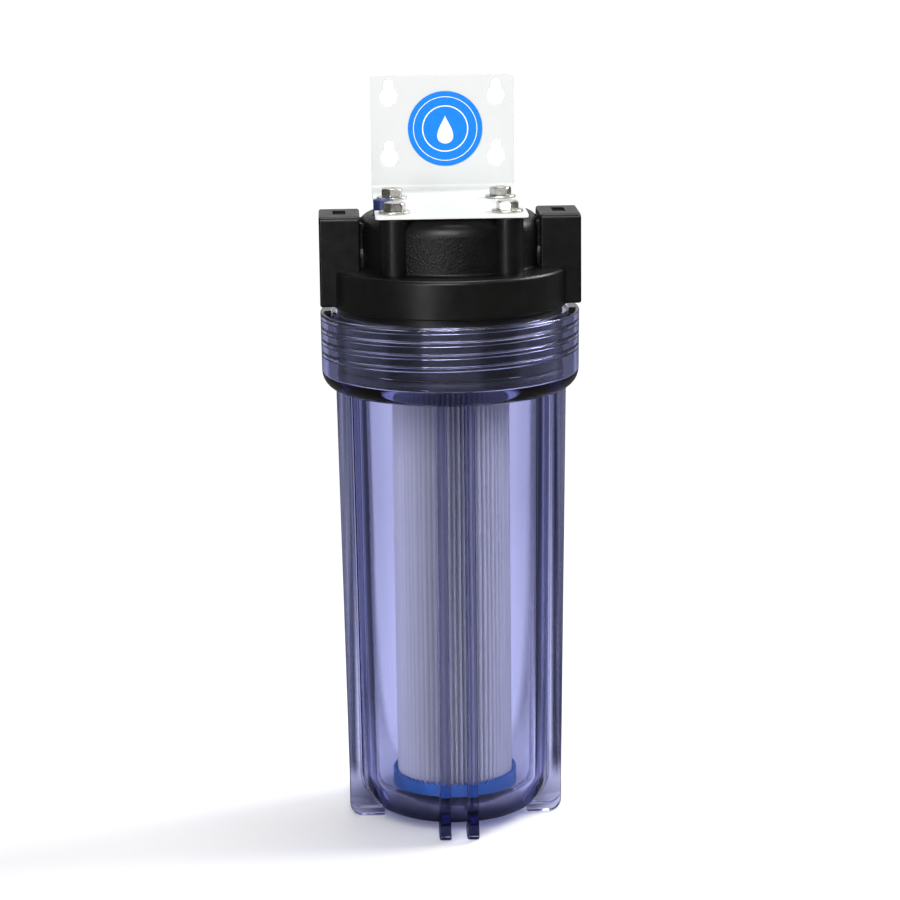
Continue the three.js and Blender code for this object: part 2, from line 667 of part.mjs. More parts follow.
// The core tube, with rows of square windows that let the clean water through.
function perforatedCore() {
  const tube = solid(ring(CORE_HOLE_R, CORE_R, MEDIA_LOW, MEDIA_LOW + MEDIA_HEIGHT, 24));
  const rows = 4;
  const windows = [];
  for (let i = 0; i < rows; i++) {
    const z = MEDIA_LOW + ((i + 0.5) * MEDIA_HEIGHT) / rows;
    windows.push(solid(new THREE.BoxGeometry(3 * CORE_R, 8, 16).translate(0, 0, z)));
    windows.push(solid(new THREE.BoxGeometry(8, 3 * CORE_R, 16).translate(0, 0, z)));
  }
  return cut(tube, ...windows);
}
addPiece("cartridge_core", geometryOf(perforatedCore()), "core");

const gasketGap = 0.2;
const bottomGasket = CARTRIDGE_BOTTOM - GASKET_T - gasketGap;
const topGasket = CARTRIDGE_TOP + gasketGap;
const gasketHoleR = CORE_HOLE_R - 0.8;
addPiece(
  "bottom_gasket",
  ring(gasketHoleR, GASKET_R, bottomGasket, bottomGasket + GASKET_T, 24),
  "rubber",
);
addPiece("top_gasket", ring(gasketHoleR, GASKET_R, topGasket, topGasket + GASKET_T, 24), "rubber");

export default filter;
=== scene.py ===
import math
import random

import bmesh
import bpy
from mathutils import Matrix, Vector


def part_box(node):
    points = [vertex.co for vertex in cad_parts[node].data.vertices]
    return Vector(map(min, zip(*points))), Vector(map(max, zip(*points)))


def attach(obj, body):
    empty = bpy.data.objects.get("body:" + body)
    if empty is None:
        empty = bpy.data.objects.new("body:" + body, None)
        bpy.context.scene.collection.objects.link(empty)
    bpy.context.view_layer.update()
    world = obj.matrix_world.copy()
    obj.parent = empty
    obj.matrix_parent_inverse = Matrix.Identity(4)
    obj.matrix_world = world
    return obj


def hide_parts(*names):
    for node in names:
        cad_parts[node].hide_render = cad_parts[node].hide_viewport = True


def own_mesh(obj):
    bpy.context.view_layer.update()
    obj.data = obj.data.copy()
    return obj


# A clear-bowl inline water filter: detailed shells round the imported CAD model, on a white sweep.
# Everything is in metres, +Z up; MM turns a drawing dimension into metres.

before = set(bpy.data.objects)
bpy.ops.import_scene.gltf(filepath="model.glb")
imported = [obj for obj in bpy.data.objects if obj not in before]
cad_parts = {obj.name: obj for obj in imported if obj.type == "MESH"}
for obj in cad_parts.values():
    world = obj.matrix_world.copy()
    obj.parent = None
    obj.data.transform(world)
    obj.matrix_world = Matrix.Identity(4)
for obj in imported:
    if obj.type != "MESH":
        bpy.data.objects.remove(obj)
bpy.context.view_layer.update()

MM = 0.001
SUMP_LOW, SUMP_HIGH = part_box("sump")
CAP_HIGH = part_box("cap")[1]
AXIS_Y = (SUMP_LOW.y + SUMP_HIGH.y) / 2  # the sump's axis, a little in front of the origin
FINE = 192  # facets round every large circle

# sump (millimetres)
COLLAR_TOP = SUMP_HIGH.z / MM
COLLAR_R = (SUMP_HIGH.x - SUMP_LOW.x) / 2 / MM
COLLAR_BOTTOM = 231.8
COLLAR_CORNER = 9.8
BODY_TOP_R, BODY_LOW_R = 52, 50
BASE_Z, BASE_CORNER = 4.7, 16
CAVITY_TOP_R, CAVITY_LOW_R = 44.4, 42.3
CAVITY_FLOOR, CAVITY_CORNER = 10, 14
LEDGE_Z = 239.7
FIN_WIDTH, FIN_OFFSET = 6.4, 7.24
FIN_TOP_R, FIN_LOW_R, FIN_LOW_Z = 59.6, 56.5, 20
FIN_DRAFT = 0.9  # how much thinner each side of a fin is at its tip
FOOT_CORNER = 7
SEAT_R, SEAT_TOP, PLUG_R = 19.5, 14.6, 12.7

# screw thread
PITCH = 6.35
BORE_R, GROOVE_R = 59.2, 61.6
NECK_R, CREST_R = 58.4, 60.8
THREAD_LOW, THREAD_TURNS, GROOVE_TURNS = 253.2, 2.1, 5

# cap
NECK_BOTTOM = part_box("cap_neck")[0].z / MM
SKIRT_R, SKIRT_BOTTOM, SHELF_Z = 61.3, 276, 295.8
DRUM_R, DRUM_TOP, DRUM_EDGE = 47, 323.2, 8
NECK_INNER_R, DRUM_INNER_R = 54, 41
CHAMBER_TOP, CEILING_Z = 290.5, 318.2
BOSS_INNER_X, BOSS_OUTER_X = 46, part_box("outlet_boss")[1].x / MM
BOSS_HALF_Y, BOSS_BOTTOM, BOSS_TOP = 18, 276.8, 323.1
WEB_HALF_Y, WEB_TOP = 14, 319
PORT_Z, PORT_R, PORT_DEPTH, PORT_COLLAR_R = 300, 12.2, 27, 15.5
RECESS_HALF_X, RECESS_HALF_Y, RECESS_DEPTH = 3.3, 8, 1.2
CHANNEL_R, WATER_R = 14.5, 9
SPIGOT_LOW, SPIGOT_RIM_LOW, SPIGOT_RIM_HIGH = 260, 267, 272
GUIDE_R, GUIDE_LOW, STEM_BORE_R = 8, 313, 2.5
SPRING_SEAT_Z, SPRING_BORE_R = 316.5, 5.6
BOLT_HOLE_R = 3.3
COLUMN_R, COLUMN_REACH = 7.8, 5.6
COLUMN_TOP, COLUMN_BOTTOM = CAP_HIGH.z / MM, 293

# cartridge
PLEATS = 70
PLEAT_OUTER_R, PLEAT_INNER_R = 31.6, 24.0
RIM_RISE = 3.2  # how far the end caps' glue climbs up the pleats


# ------------------------------------------------------------------ outlines
def filleted(corners, steps=8):
    """A polyline through (x, y, radius) corners, each rounded by an arc of its radius."""
    points = []
    count = len(corners)
    for i, (x, y, radius) in enumerate(corners):
        here = Vector((x, y))
        back = Vector(corners[i - 1][:2]) - here
        ahead = Vector(corners[(i + 1) % count][:2]) - here
        if not radius:
            points.append((x, y))
            continue
        back.normalize()
        ahead.normalize()
        half = back.angle(ahead) / 2
        reach = radius / math.tan(half)
        centre = here + (back + ahead).normalized() * radius / math.sin(half)
        start = here + back * reach - centre
        end = here + ahead * reach - centre
        turn = start.angle_signed(end)
        for k in range(steps + 1):
            arm = start.copy()
            arm.rotate(Matrix.Rotation(-turn * k / steps, 2))
            points.append(tuple(centre + arm))
    return points


def circle(x, y, radius, count=32):
    angles = (2 * math.pi * i / count for i in range(count))
    return [(x + radius * math.cos(a), y + radius * math.sin(a)) for a in angles]


# ------------------------------------------------------------------ mesh helpers
def make_object(name, vertices, faces):
    mesh = bpy.data.meshes.new(name)
    mesh.from_pydata(vertices, [], faces)
    mesh.validate()
    piece = bpy.data.objects.new(name, mesh)
    bpy.context.scene.collection.objects.link(piece)
    return piece


def outward(piece):
    """Turns every face outward and welds doubled points."""
    work = bmesh.new()
    work.from_mesh(piece.data)
    bmesh.ops.remove_doubles(work, verts=work.verts, dist=1e-7)
    bmesh.ops.recalc_face_normals(work, faces=work.faces)
    work.to_mesh(piece.data)
    work.free()
    return piece


def lathe(name, outline, facets=FINE, centre=(0, None)):
    """An outline of (radius, height) in mm turned about a vertical axis through centre, in mm."""
    axis_x = centre[0] * MM
    axis_y = AXIS_Y if centre[1] is None else AXIS_Y + centre[1] * MM
    vertices, rows = [], []
    for r, z in outline:
        if r < 1e-6:
            rows.append([len(vertices)] * facets)
            vertices.append((axis_x, axis_y, z * MM))
            continue
        rows.append(list(range(len(vertices), len(vertices) + facets)))
        for i in range(facets):
            a = 2 * math.pi * i / facets
            vertices.append((axis_x + r * MM * math.cos(a), axis_y + r * MM * math.sin(a), z * MM))
    closed = outline[0][0] > 1e-6
    pairs = list(zip(rows, rows[1:])) + ([(rows[-1], rows[0])] if closed else [])
    faces = []
    for low, high in pairs:
        for i in range(facets):
            j = (i + 1) % facets
            ring = [low[i], low[j], high[j], high[i]]
            face = list(dict.fromkeys(ring))
            if len(face) > 2:
                faces.append(face)
    return outward(make_object(name, vertices, faces))


def along_x(name, outline, facets=48):
    """An outline of (radius, x) in mm turned about the ports' common axis."""
    piece = lathe(name, outline, facets)
    lay = Matrix.Rotation(math.pi / 2, 4, "Y") @ Matrix.Translation((0, -AXIS_Y, 0))
    piece.data.transform(Matrix.Translation((0, AXIS_Y, PORT_Z * MM)) @ lay)
    return piece


def prism(name, outline, low, high, place):
    """A flat outline thickened from low to high; place turns (u, v, w) in mm into a point."""
    count = len(outline)
    vertices = [place(u, v, w) for w in (low, high) for u, v in outline]
    faces = [list(range(count))[::-1], list(range(count, 2 * count))]
    for i in range(count):
        j = (i + 1) % count
        faces.append([i, j, count + j, count + i])
    return outward(make_object(name, vertices, faces))


def plan(u, v, w):
    """Outline seen from above, thickness along Z."""
    return (u * MM, AXIS_Y + v * MM, w * MM)


def across(u, v, w):
    """Outline seen along X: u is depth, v is height, thickness along X."""
    return (w * MM, AXIS_Y + u * MM, v * MM)


def bevel(piece, width, segments=3, angle=40):
    modifier = piece.modifiers.new("edges", "BEVEL")
    modifier.width = width * MM
    modifier.segments = segments
    modifier.limit_method = "ANGLE"
    modifier.angle_limit = math.radians(angle)
    return apply_modifiers(piece)


def apply_modifiers(piece):
    bpy.context.view_layer.update()
    evaluated = piece.evaluated_get(bpy.context.evaluated_depsgraph_get())
    mesh = bpy.data.meshes.new_from_object(evaluated)
    piece.modifiers.clear()
    piece.data = mesh
    return piece


def combine(piece, others, operation):
    """Joins, cuts or keeps the common part of closed pieces; the others are used up."""
    for other in others:
        modifier = piece.modifiers.new("combine", "BOOLEAN")
        modifier.operation = operation
        modifier.solver = "MANIFOLD"
        modifier.object = other
        apply_modifiers(piece)
        bpy.data.objects.remove(other)
    return piece


def screw(name, root_r, root_width, crest_r, crest_width, low, turns, per_turn=144):
    """A right-handed ridge with a rounded-off trapezoid section, swept up a helix."""
    soft = 0.25 * crest_width
    section = [
        (root_r, -root_width / 2),
        (crest_r - soft, -crest_width / 2),
        (crest_r, -crest_width / 2 + soft),
        (crest_r, crest_width / 2 - soft),
        (crest_r - soft, crest_width / 2),
        (root_r, root_width / 2),
    ]
    steps = round(turns * per_turn)
    corners = len(section)
    vertices, faces = [], []
    for i in range(steps + 1):
        a = 2 * math.pi * i / per_turn
        for r, dz in section:
            z = low + dz + PITCH * i / per_turn
            vertices.append((r * MM * math.cos(a), AXIS_Y + r * MM * math.sin(a), z * MM))
    for i in range(steps):
        for j in range(corners):
            a, b = i * corners + j, i * corners + (j + 1) % corners
            faces.append([a, b, b + corners, a + corners])
    faces.append(list(range(corners)))
    faces.append(list(range(steps * corners, (steps + 1) * corners)))
    return outward(make_object(name, vertices, faces))


def soften(piece, angle=32):
    """Smooth shading with sharp edges kept, and flat faces kept flat beside their fillets."""
    work = bmesh.new()
    work.from_mesh(piece.data)
    limit = math.radians(angle)
    for face in work.faces:
        face.smooth = True
    for edge in work.edges:
        edge.smooth = len(edge.link_faces) == 2 and edge.calc_face_angle(math.pi) < limit
    work.to_mesh(piece.data)
    work.free()
    modifier = piece.modifiers.new("flat_faces", "WEIGHTED_NORMAL")
    modifier.keep_sharp = True
    return piece


def dress(piece, body, material, replaces=()):
    piece.data.materials.clear()
    piece.data.materials.append(material)
    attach(piece, body)
    if replaces:
        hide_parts(*replaces)
    return piece


# ------------------------------------------------------------------ materials
class Shader:
    """A material's node tree with short calls for the nodes used here."""

    def __init__(self, name):
        self.material = bpy.data.materials.new(name)
        self.material.use_nodes = True
        self.tree = self.material.node_tree
        self.principled = self.tree.nodes["Principled BSDF"]
        self.output = self.tree.nodes["Material Output"]
        self.coordinates = self.node("ShaderNodeTexCoord").outputs["Object"]

    def node(self, kind, **settings):
        made = self.tree.nodes.new(kind)
        for key, value in settings.items():
            setattr(made, key, value)
        return made

    def link(self, source, target):
        self.tree.links.new(source, target)

    def noise(self, scale, detail=3.0, roughness=0.55, stretch=None):
        made = self.node("ShaderNodeTexNoise")
        made.inputs["Scale"].default_value = scale
        made.inputs["Detail"].default_value = detail
        made.inputs["Roughness"].default_value = roughness
        source = self.coordinates
        if stretch:
            mapping = self.node("ShaderNodeMapping")
            mapping.inputs["Scale"].default_value = stretch
            self.link(source, mapping.inputs["Vector"])
            source = mapping.outputs["Vector"]
        self.link(source, made.inputs["Vector"])
        return made.outputs["Fac"]

    def math(self, operation, *inputs):
        made = self.node("ShaderNodeMath", operation=operation)
        for place, value in enumerate(inputs):
            if isinstance(value, (int, float)):
                made.inputs[place].default_value = value
            else:
                self.link(value, made.inputs[place])
        return made.outputs["Value"]

    def split(self):
        """The three parts of the place in the part's own frame, X, Y and Z."""
        made = self.node("ShaderNodeSeparateXYZ")
        self.link(self.coordinates, made.inputs["Vector"])
        return made.outputs["X"], made.outputs["Y"], made.outputs["Z"]

    def span(self, source, low, high, start=0.3, stop=0.7):
        made = self.node("ShaderNodeMapRange")
        made.inputs["From Min"].default_value = start
        made.inputs["From Max"].default_value = stop
        made.inputs["To Min"].default_value = low
        made.inputs["To Max"].default_value = high
        self.link(source, made.inputs["Value"])
        return made.outputs["Result"]

    def blend(self, source, dark, light, start=0.3, stop=0.7):
        made = self.node("ShaderNodeValToRGB")
        made.color_ramp.elements[0].position = start
        made.color_ramp.elements[1].position = stop
        made.color_ramp.elements[0].color = (*dark, 1)
        made.color_ramp.elements[1].color = (*light, 1)
        self.link(source, made.inputs["Fac"])
        return made.outputs["Color"]

    def bumps(self, *layers):
        """Stacks (height source, depth in metres) layers into one normal."""
        normal = None
        for source, depth in layers:
            made = self.node("ShaderNodeBump")
            made.inputs["Distance"].default_value = depth
            made.inputs["Strength"].default_value = 1.0
            self.link(source, made.inputs["Height"])
            if normal:
                self.link(normal, made.inputs["Normal"])
            normal = made.outputs["Normal"]
        self.link(normal, self.principled.inputs["Normal"])

    def set(self, **values):
        for key, value in values.items():
            self.principled.inputs[key.replace("_", " ")].default_value = value

    def colour(self, source):
        self.link(source, self.principled.inputs["Base Color"])

    def roughness(self, source):
        self.link(source, self.principled.inputs["Roughness"])


def fin_painted_shade_mask(s):
    """Where the painted dark shade goes: 1 on the broad faces of the fins, 0 elsewhere, streaked along
    their length.
    """
    x, y, height = s.split()
    east = s.math("ABSOLUTE", x)
    north = s.math("ABSOLUTE", s.math("SUBTRACT", y, AXIS_Y))
    beyond_body = s.span(s.math("MAXIMUM", east, north), 0, 1, 50.6 * MM, 52.2 * MM)
    sideways = s.math("MINIMUM", east, north)
    from_middle = s.math("ABSOLUTE", s.math("SUBTRACT", sideways, FIN_OFFSET * MM))
    on_side = s.span(from_middle, 0, 1, 1.6 * MM, 2.2 * MM)
    above_foot = s.span(height, 0, 1, 17 * MM, 27 * MM)
    below_collar = s.span(height, 1, 0, (COLLAR_BOTTOM - 1) * MM, COLLAR_BOTTOM * MM)
    mask = s.span(s.noise(420, 2, stretch=(1, 1, 0.01)), 0.25, 1.0)
    for part in (beyond_body, on_side, above_foot, below_collar):
        mask = s.math("MULTIPLY", mask, part)
    return mask


def clear_plastic():
    """Blue-violet tinted clear plastic, darker where it is thicker, with faint moulding ripples, and a
    painted dark navy shade on the broad faces of the fins.
    """
    s = Shader("clear_plastic")
    s.set(IOR=1.5, Transmission_Weight=1.0)
    # painted shade: the fins' broad faces are coloured dark navy, standing in for dark surroundings seen
    # through them
    s.colour(s.blend(fin_painted_shade_mask(s), (0.97, 0.97, 1.0), (0.04, 0.045, 0.12), 0.0, 1.0))
    s.roughness(s.span(s.noise(90, 4), 0.01, 0.05))
    s.bumps((s.noise(22, 2, stretch=(1, 1, 0.35)), 0.00012), (s.noise(420, 2), 0.000004))
    absorb = s.node("ShaderNodeVolumeAbsorption")
    absorb.inputs["Color"].default_value = (0.18, 0.21, 0.58, 1)
    absorb.inputs["Density"].default_value = 80
    s.link(absorb.outputs["Volume"], s.output.inputs["Volume"])
    # lamps reach what stands behind the plastic, less so through the thick base
    path = s.node("ShaderNodeLightPath")
    through = s.node("ShaderNodeBsdfTransparent")
    height = s.span(s.split()[2], 0, 1, 8 * MM, 40 * MM)
    shade = s.blend(height, (0.42, 0.42, 0.43), (0.84, 0.84, 0.85), 0.0, 1.0)
    s.link(shade, through.inputs["Color"])
    mix = s.node("ShaderNodeMixShader")
    s.link(path.outputs["Is Shadow Ray"], mix.inputs["Fac"])
    s.link(s.principled.outputs["BSDF"], mix.inputs[1])
    s.link(through.outputs["BSDF"], mix.inputs[2])
    s.link(mix.outputs["Shader"], s.output.inputs["Surface"])
    return s.material


def black_plastic(name, grain):
    """Satin black moulding; grain is the depth of its spark-eroded texture in metres."""
    s = Shader(name)
    s.colour(s.blend(s.noise(60, 5), (0.0022, 0.0022, 0.0022), (0.0045, 0.0044, 0.0040)))
    s.roughness(s.span(s.noise(160, 5), 0.30, 0.42))
    s.bumps((s.noise(900, 3, 0.6), grain), (s.noise(35, 2), 0.00006))
    s.set(Specular_IOR_Level=0.32)
    return s.material


def white_coat():
    """Smooth white powder coat with a fine orange-peel surface."""
    s = Shader("white_powder_coat")
    s.colour(s.blend(s.noise(14, 3), (0.66, 0.675, 0.665), (0.70, 0.715, 0.705)))
    s.roughness(s.span(s.noise(240, 3), 0.28, 0.42))
    s.bumps((s.noise(900, 3), 0.000012), (s.noise(90, 2), 0.00002))
    return s.material


def stainless_steel():
    """Bright rolled steel with fine turning marks and a faint warm stain."""
    s = Shader("stainless_steel")
    s.colour(s.blend(s.noise(260, 6), (0.50, 0.485, 0.44), (0.74, 0.73, 0.69), 0.35, 0.62))
    s.roughness(s.span(s.noise(420, 6, 0.7), 0.20, 0.42))
    s.bumps((s.noise(900, 4, stretch=(1, 1, 6)), 0.00002), (s.noise(300, 3), 0.00003))
    s.set(Metallic=1.0)
    return s.material


def label_film():
    """Satin blue printed film."""
    s = Shader("label_film")
    s.colour(s.blend(s.noise(500, 3), (0.008, 0.20, 0.78), (0.011, 0.225, 0.84)))
    s.roughness(s.span(s.noise(300, 3), 0.45, 0.55))
    s.bumps((s.noise(250, 2), 0.00001))
    s.set(Specular_IOR_Level=0.12)
    return s.material


def label_print():
    """The label's white ink."""
    s = Shader("label_print")
    s.colour(s.blend(s.noise(700, 3), (0.88, 0.93, 0.98), (0.95, 0.98, 1.0)))
    s.roughness(s.span(s.noise(300, 3), 0.30, 0.42))
    return s.material


def navy_plastic():
    s = Shader("navy_plastic")
    s.colour(s.blend(s.noise(150, 4), (0.010, 0.018, 0.085), (0.016, 0.028, 0.12)))
    s.roughness(s.span(s.noise(300, 4), 0.28, 0.4))
    s.bumps((s.noise(1200, 3), 0.00001))
    return s.material


def pleated_sheet():
    """White non-woven sheet: matted fibres and a soft unevenness."""
    s = Shader("pleated_sheet")
    # painted shade: the folds' valleys are darkened by the radius from the cartridge's axis
    apart = s.node("ShaderNodeVectorMath", operation="MULTIPLY_ADD")
    s.link(s.coordinates, apart.inputs[0])
    apart.inputs[1].default_value = (1, 1, 0)
    apart.inputs[2].default_value = (0, -AXIS_Y, 0)
    radius = s.node("ShaderNodeVectorMath", operation="LENGTH")
    s.link(apart.outputs["Vector"], radius.inputs[0])
    depth = s.span(radius.outputs["Value"], 0.0, 1.0, 27.5 * MM, 31.2 * MM)
    mottle = s.span(s.noise(220, 6, 0.7), -0.08, 0.08)
    tone = s.math("ADD", depth, mottle)
    s.colour(s.blend(tone, (0.66, 0.65, 0.58), (0.92, 0.90, 0.80), 0.0, 1.0))
    s.roughness(s.span(s.noise(400, 4), 0.85, 1.0))
    fibres = s.noise(1500, 5, 0.75, stretch=(1, 1, 0.25))
    s.bumps((fibres, 0.00010), (s.noise(160, 3), 0.00012))
    s.set(Sheen_Weight=0.15, Sheen_Roughness=0.6)
    return s.material


def blue_end_cap():
    s = Shader("blue_end_cap")
    s.colour(s.blend(s.noise(90, 5), (0.014, 0.13, 0.36), (0.022, 0.17, 0.46)))
    s.roughness(s.span(s.noise(200, 4), 0.35, 0.5))
    s.bumps((s.noise(500, 4), 0.00004))
    return s.material


def seal_rubber():
    s = Shader("seal_rubber")
    s.colour(s.blend(s.noise(120, 4), (0.006, 0.006, 0.0065), (0.014, 0.014, 0.015)))
    s.roughness(s.span(s.noise(300, 4), 0.42, 0.62))
    s.bumps((s.noise(900, 4), 0.00002))
    return s.material


def natural_plastic(name, shade):
    s = Shader(name)
    light = tuple(min(1.0, c * 1.06) for c in shade)
    s.colour(s.blend(s.noise(80, 4), shade, light))
    s.roughness(s.span(s.noise(200, 3), 0.4, 0.55))
    s.bumps((s.noise(600, 3), 0.00002))
    return s.material


def spring_wire():
    s = Shader("spring_wire")
    s.colour(s.blend(s.noise(900, 4), (0.55, 0.55, 0.56), (0.72, 0.72, 0.72)))
    s.roughness(s.span(s.noise(600, 4), 0.2, 0.35))
    s.bumps((s.noise(1500, 3), 0.000008))
    s.set(Metallic=1.0)
    return s.material


CLEAR = clear_plastic()
BLACK = black_plastic("black_plastic", 0.00002)
GRAINED = black_plastic("black_grained_plastic", 0.00035)
WHITE = white_coat()
STEEL = stainless_steel()
RUBBER = seal_rubber()
BLUE_CAP = blue_end_cap()


# ------------------------------------------------------------------ sump
def sump_fin(offset, degrees):
    """One rib: a bevelled plate that ends below the base as a foot."""
    outline = filleted([
        (38, 0, 0.8),
        (FIN_LOW_R, 0, FOOT_CORNER),
        (FIN_LOW_R, FIN_LOW_Z, 0),
        (FIN_TOP_R, COLLAR_BOTTOM + 1, 0),
        (BODY_LOW_R - 0.6, COLLAR_BOTTOM + 1, 0),
        (BODY_LOW_R - 2, BASE_Z + BASE_CORNER, 0),
        (46, 14, 0),
        (38, 6.5, 0),
    ])
    turn = Matrix.Rotation(math.radians(degrees), 3, "Z")

    def place(u, v, w):
        thin = FIN_DRAFT * max(0, u - BODY_LOW_R) / (FIN_TOP_R - BODY_LOW_R)
        across_fin = offset + math.copysign(abs(w) - thin, w)
        spot = turn @ Vector((u * MM, across_fin * MM, v * MM))
        return (spot.x, spot.y + AXIS_Y, spot.z)

    plate = prism("fin", outline, -FIN_WIDTH / 2, FIN_WIDTH / 2, place)
    return bevel(plate, 2.0, 5, 60)


def make_sump():
    shell = lathe("sump_shell", filleted([
        (0, BASE_Z, 0),
        (BODY_LOW_R, BASE_Z, BASE_CORNER),
        (BODY_TOP_R, COLLAR_BOTTOM, 0.8),
        (COLLAR_R - 0.4, COLLAR_BOTTOM, COLLAR_CORNER),
        (COLLAR_R, COLLAR_TOP, 1.1),
        (BORE_R, COLLAR_TOP, 0.8),
        (BORE_R, LEDGE_Z, 0.8),
        (CAVITY_TOP_R, LEDGE_Z, 2.2),
        (CAVITY_LOW_R, CAVITY_FLOOR, CAVITY_CORNER),
        (SEAT_R + 1.5, CAVITY_FLOOR, 1.0),
        (SEAT_R, SEAT_TOP, 0.6),
        (PLUG_R, SEAT_TOP, 0.6),
        (PLUG_R, SEAT_TOP + 9, 2.0),
        (PLUG_R - 3, SEAT_TOP + 11, 1.0),
        (0, SEAT_TOP + 11, 0),
    ]))
    fins = [sump_fin(side * FIN_OFFSET, degrees) for degrees in (0, 90, 180, 270) for side in (-1, 1)]
    combine(shell, fins, "UNION")
    groove = screw("groove", BORE_R - 0.6, 3.7, GROOVE_R, 2.6, THREAD_LOW - PITCH, GROOVE_TURNS)
    combine(shell, [groove], "DIFFERENCE")
    soften(shell)
    return dress(shell, "sump", CLEAR, ["sump"])


def make_o_ring():
    section, centre_r, centre_z = 2.4, BORE_R - 2.7, LEDGE_Z + 2.7
    outline = []
    for i in range(24):
        a = 2 * math.pi * i / 24
        seam = 0.18 if i == 0 else 0  # the mould line round its outside
        r = section + seam
        outline.append((centre_r + r * math.cos(a), centre_z + r * math.sin(a)))
    ring = soften(lathe("o_ring", outline), 60)
    return dress(ring, "sump", RUBBER, ["sump_o_ring"])


def collar_mark(name, x, y):
    """A small dark block standing on the flat top of the collar."""
    corners = [(x - 1.8, y - 1.5, 0.3), (x + 1.8, y - 1.5, 0.3), (x + 1.8, y + 1.5, 0.3),
               (x - 1.8, y + 1.5, 0.3)]
    top = COLLAR_TOP - 0.01
    mark = bevel(prism(name, filleted(corners, 4), top - 0.05, top + 0.25, plan), 0.06, 2)
    soften(mark)
    return dress(mark, "sump", RUBBER)


# ------------------------------------------------------------------ cap
def port_boss(side):
    corners = [
        (-BOSS_HALF_Y, BOSS_BOTTOM, 1.2),
        (BOSS_HALF_Y, BOSS_BOTTOM, 1.2),
        (BOSS_HALF_Y, BOSS_TOP, 2.4),
        (-BOSS_HALF_Y, BOSS_TOP, 2.4),
    ]
    inner, outer = side * BOSS_INNER_X, side * BOSS_OUTER_X
    block = prism("boss", filleted(corners), min(inner, outer), max(inner, outer), across)
    return bevel(block, 1.6, 4, 50)


def column(x, y):
    """A half-round column under the bracket, drawn out away from the axis."""
    sign = 1 if y > 0 else -1
    far = abs(y) + COLUMN_REACH
    outline = [(x + COLUMN_R, sign * abs(y)), (x + COLUMN_R, sign * far)]
    for i in range(1, 24):
        a = math.pi * i / 24
        outline.append((x + COLUMN_R * math.cos(a), sign * (far + COLUMN_R * math.sin(a))))
    outline += [(x - COLUMN_R, sign * far), (x - COLUMN_R, sign * abs(y))]
    for i in range(1, 24):
        a = math.pi * i / 24
        outline.append((x - COLUMN_R * math.cos(a), sign * (abs(y) - COLUMN_R * math.sin(a))))
    return bevel(prism("column", outline, COLUMN_BOTTOM, COLUMN_TOP, plan), 0.7, 3, 60)


def port_cutter(side):
    """The thread-cut bore of a port, wider at each thread groove."""
    outline = [(0, BOSS_OUTER_X - PORT_DEPTH), (PORT_R, BOSS_OUTER_X - PORT_DEPTH)]
    thread_pitch, z = 1.81, BOSS_OUTER_X - PORT_DEPTH + 6
    while z < BOSS_OUTER_X - 1.5:
        outline += [(PORT_R, z), (PORT_R + 0.7, z + thread_pitch / 2)]
        z += thread_pitch
    outline += [(PORT_R, z), (PORT_R + 1.3, BOSS_OUTER_X + 0.2), (0, BOSS_OUTER_X + 0.2)]
    return along_x("port_cutter", [(r, side * x) for r, x in outline], 96)


def node_middle(node):
    """Where the middle of a CAD node stands, seen from above, in mm from the sump's axis."""
    low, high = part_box(node)
    return (low.x + high.x) / 2 / MM, ((low.y + high.y) / 2 - AXIS_Y) / MM


def bolt_places():
    """(name, x, y) of each bolt, in mm from the sump's axis."""
    for name in ("front_left", "front_right", "rear_left", "rear_right"):
        yield name, *node_middle("bolt_" + name)


def web(side):
    """A plate that joins a port boss to the drum behind it."""
    inner, outer = side * (BOSS_INNER_X - 8), side * (BOSS_INNER_X + 2)
    corners = [
        (-WEB_HALF_Y, SHELF_Z - 1),
        (WEB_HALF_Y, SHELF_Z - 1),
        (WEB_HALF_Y, WEB_TOP),
        (-WEB_HALF_Y, WEB_TOP),
    ]
    return prism("web", corners, min(inner, outer), max(inner, outer), across)


def rod(name, radius, low, high, place=(0, 0), facets=48):
    """An upright cylinder."""
    return lathe(name, [(0, low), (radius, low), (radius, high), (0, high)], facets, place)


def rod_along_x(name, radius, start, stop):
    """A cylinder on the ports' common axis."""
    return along_x(name, [(0, start), (radius, start), (radius, stop), (0, stop)])


def boss_recess(side):
    """The shallow rectangular recess in the top of a boss."""
    middle = side * (BOSS_INNER_X + BOSS_OUTER_X) / 2
    corners = [
        (middle - RECESS_HALF_X, -RECESS_HALF_Y, 0.6),
        (middle + RECESS_HALF_X, -RECESS_HALF_Y, 0.6),
        (middle + RECESS_HALF_X, RECESS_HALF_Y, 0.6),
        (middle - RECESS_HALF_X, RECESS_HALF_Y, 0.6),
    ]
    return prism("recess", filleted(corners, 4), BOSS_TOP - RECESS_DEPTH, BOSS_TOP + 1, plan)


def cap_shell():
    """The hollow turned body with its port bosses."""
    shell = lathe("cap_shell", filleted([
        (0, NECK_BOTTOM, 0),
        (NECK_R, NECK_BOTTOM, 0.9),
        (NECK_R, SKIRT_BOTTOM, 0.5),
        (SKIRT_R, SKIRT_BOTTOM, 0.7),
        (SKIRT_R, SHELF_Z, 2.2),
        (DRUM_R, SHELF_Z, 1.5),
        (DRUM_R, DRUM_TOP, DRUM_EDGE),
        (0, DRUM_TOP, 0),
    ]))
    cavity = lathe("cavity", [
        (0, NECK_BOTTOM - 1),
        (NECK_INNER_R, NECK_BOTTOM - 1),
        (NECK_INNER_R, CHAMBER_TOP),
        (DRUM_INNER_R, CHAMBER_TOP),
        (DRUM_INNER_R, CEILING_Z),
        (0, CEILING_Z),
    ], 96)
    collars = [rod_along_x("collar", PORT_COLLAR_R, side * (BOSS_INNER_X - 4), side * (BOSS_INNER_X + 1))
               for side in (-1, 1)]
    webs = [web(side) for side in (-1, 1)]
    combine(shell, [port_boss(1), port_boss(-1), *collars, *webs], "UNION")
    return combine(shell, [cavity], "DIFFERENCE")


